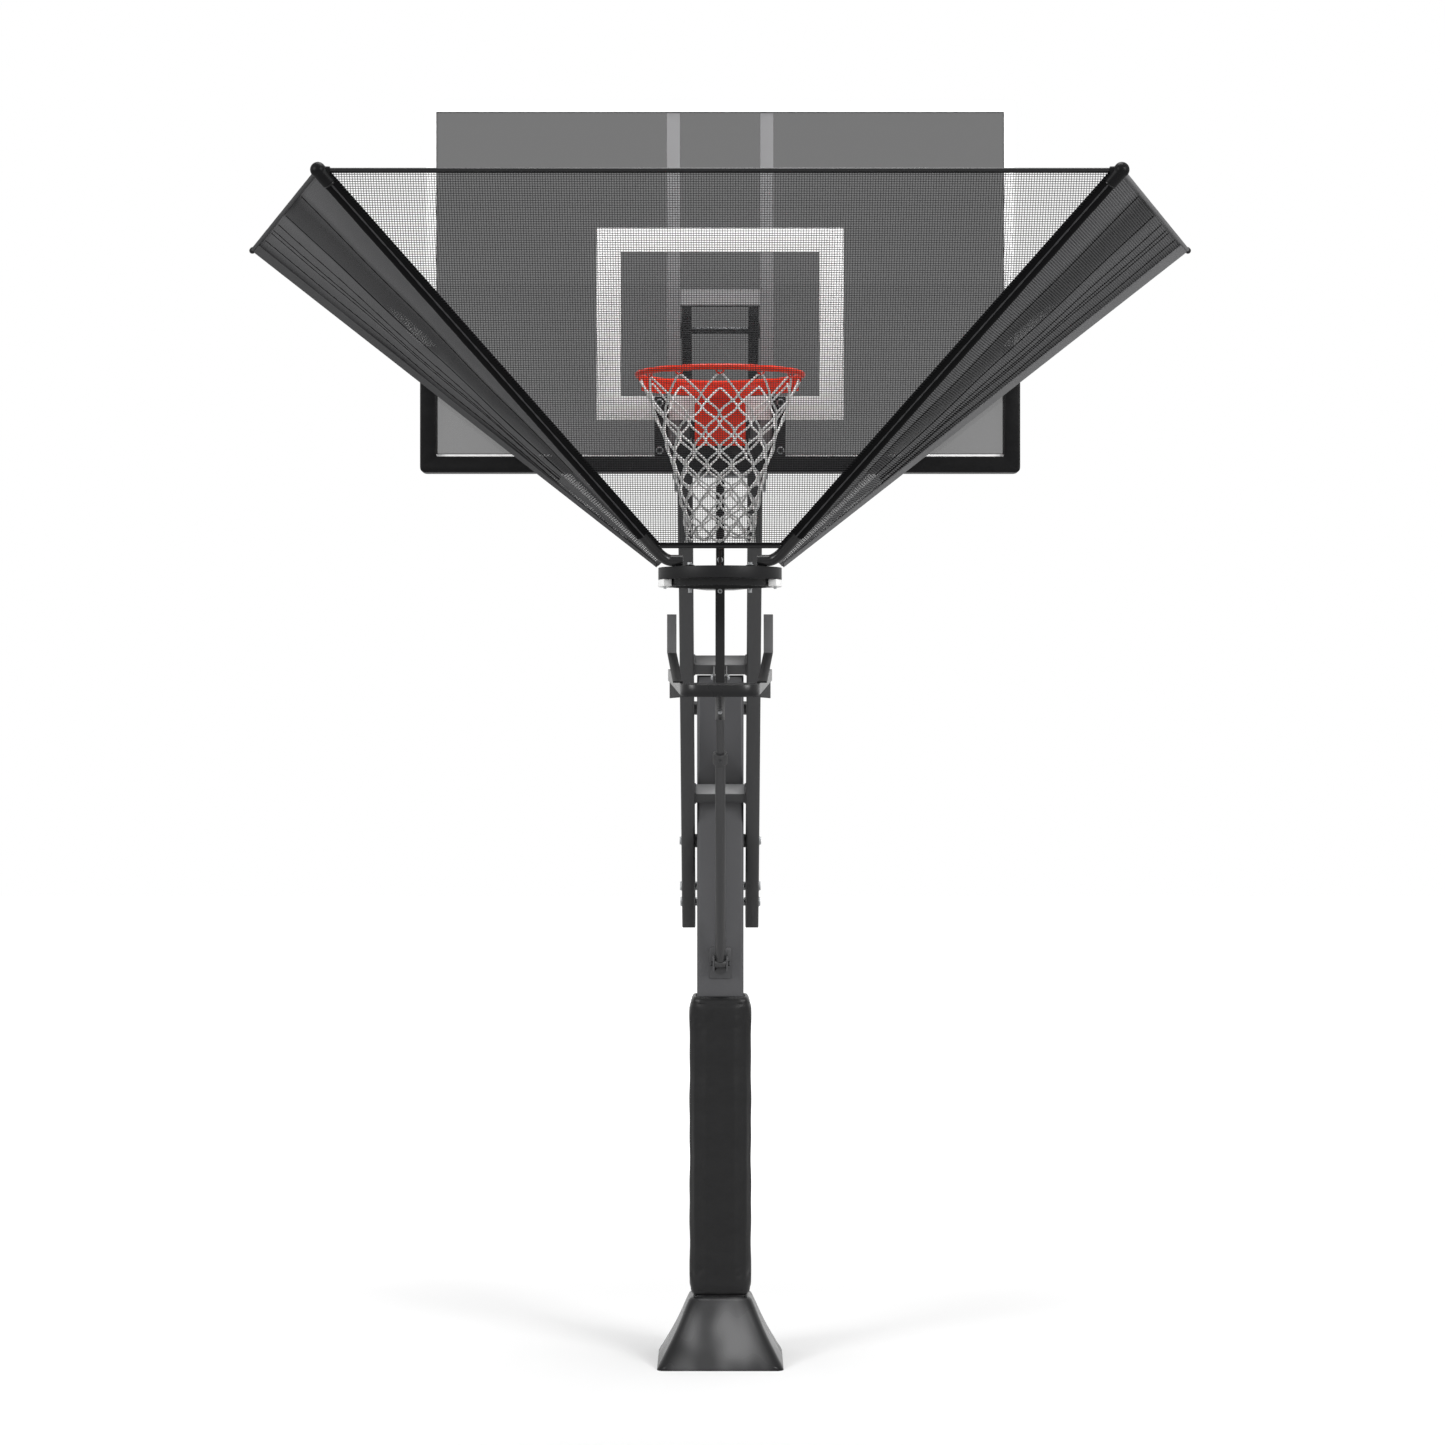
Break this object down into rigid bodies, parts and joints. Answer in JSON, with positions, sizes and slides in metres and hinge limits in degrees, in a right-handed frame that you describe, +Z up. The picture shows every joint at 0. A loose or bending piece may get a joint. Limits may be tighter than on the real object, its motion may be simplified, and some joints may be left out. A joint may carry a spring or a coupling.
{
  "type": "basketball return system",
  "caption": "In-ground height-adjustable basketball goal with a net funnel under the hoop that gathers the ball and a swivelling chute that returns it.",
  "frame": {"origin": "centre of the pole on the ground, on the underside of the base plate", "axes": "+Z up along the pole; the board and the hoop face -Y; +X is to the right for a player facing the board"},
  "size_m": [2.7548, 2.5017, 3.893],
  "materials": {
    "dark_steel": "satin dark grey powder coat",
    "pole_steel": "satin grey powder coat",
    "pale_steel": "light grey powder coat",
    "black_steel": "semi-matt black powder coat",
    "white_paint": "white powder coat",
    "rim_paint": "glossy orange-red powder coat",
    "zinc": "zinc plate, dulled",
    "board_glass": "tinted toughened glass, polished",
    "pad_vinyl": "black grained vinyl over foam",
    "gloss_black": "glossy black moulded plastic",
    "white_nylon": "white nylon",
    "black_net": "fine black knitted netting",
    "white_net": "white braided cord netting"
  },
  "bodies": {
    "post": {"base_plate": "dark_steel", "anchor_bolts": "zinc", "base_cover": "gloss_black", "pole": "pole_steel", "pole_cap": "gloss_black", "pole_pad": "pad_vinyl", "lower_pivot_bolt": "zinc", "upper_pivot_bolt": "zinc", "strut_bracket": "dark_steel", "strut_lower_pin": "zinc"},
    "lower_arms": {"lower_arm_left": "dark_steel", "lower_arm_right": "dark_steel", "lower_crossbar": "dark_steel", "upper_crossbar": "dark_steel", "strut_upper_pin": "zinc", "rear_tie_upper": "zinc", "rear_tie_lower": "zinc"},
    "upper_arms": {"upper_arm_left": "dark_steel", "upper_arm_right": "dark_steel"},
    "strut_outer": {"strut_tube": "dark_steel", "strut_collar": "black_steel"},
    "strut_inner": {"strut_rod": "dark_steel"},
    "board_carriage": {"backboard_glass": "board_glass", "backboard_frame": "white_paint", "target_square": "white_paint", "backboard_pad": "pad_vinyl", "board_subframe": "pale_steel", "front_pivot_bolt_lower": "zinc", "front_pivot_bolt_upper": "zinc", "rim_bracket": "black_steel", "rim_bracket_bolts_left": "zinc", "rim_bracket_bolts_right": "zinc", "rim_hinge_pin": "zinc", "rim_spring": "zinc", "return_mast": "black_steel", "return_ring": "dark_steel", "guide_shoe_left": "white_nylon", "guide_shoe_right": "white_nylon", "ring_elbow_left": "black_steel", "ring_elbow_right": "black_steel", "net_tube_left": "black_steel", "net_tube_right": "black_steel", "net_top_bar": "black_steel", "net_bottom_bar": "black_steel", "corner_fitting_left": "gloss_black", "corner_fitting_right": "gloss_black", "wing_rod_left": "black_steel", "wing_rod_right": "black_steel", "front_net": "black_net", "wing_net_left": "black_net", "wing_net_right": "black_net"},
    "rim": {"rim_hoop": "rim_paint", "rim_housing": "rim_paint", "hoop_net": "white_net"},
    "chute": {"swivel_ring": "dark_steel", "chute_hanger": "dark_steel", "chute_ramp": "dark_steel", "chute_band": "dark_steel", "ball_guide_left": "dark_steel", "ball_guide_right": "dark_steel"}
  },
  "joints": [
    {"name": "height_adjust", "type": "hinge", "parent": "post", "child": "lower_arms", "pos_m": [0, 0.017, 1.68], "axis": [1, 0, 0], "range_deg": [0, 36]},
    {"name": "upper_arm_pivot", "type": "hinge", "parent": "post", "child": "upper_arms", "pos_m": [0, 0.017, 2.11], "axis": [1, 0, 0], "range_deg": [0, 36]},
    {"name": "board_pivot", "type": "hinge", "parent": "lower_arms", "child": "board_carriage", "pos_m": [0, -0.912, 2.8], "axis": [1, 0, 0], "range_deg": [-36, 0]},
    {"name": "strut_pivot", "type": "hinge", "parent": "post", "child": "strut_outer", "pos_m": [0, -0.112, 1.29], "axis": [1, 0, 0], "range_deg": [0, 26.1]},
    {"name": "strut_slide", "type": "slide", "parent": "strut_outer", "child": "strut_inner", "axis": [0, -0.3868, 0.9221], "range_m": [-0.2012, 0]},
    {"name": "rim_breakaway", "type": "hinge", "parent": "board_carriage", "child": "rim", "pos_m": [0, -1.04, 2.89], "axis": [1, 0, 0], "range_deg": [0, 15], "stiffness_Nm_per_rad": 400, "springref_deg": -20.05},
    {"name": "chute_swivel", "type": "hinge", "parent": "board_carriage", "child": "chute", "pos_m": [0, -1.387, 2.46], "axis": [0, 0, 1], "range_deg": [-90, 90]}
  ],
  "couplings": [
    {"joint": "upper_arm_pivot", "follows": "height_adjust", "ratio": 1},
    {"joint": "board_pivot", "follows": "height_adjust", "ratio": -1},
    {"joint": "strut_pivot", "follows": "height_adjust", "ratio": 0.724},
    {"joint": "strut_slide", "follows": "height_adjust", "m_per_rad": -0.32}
  ]
}
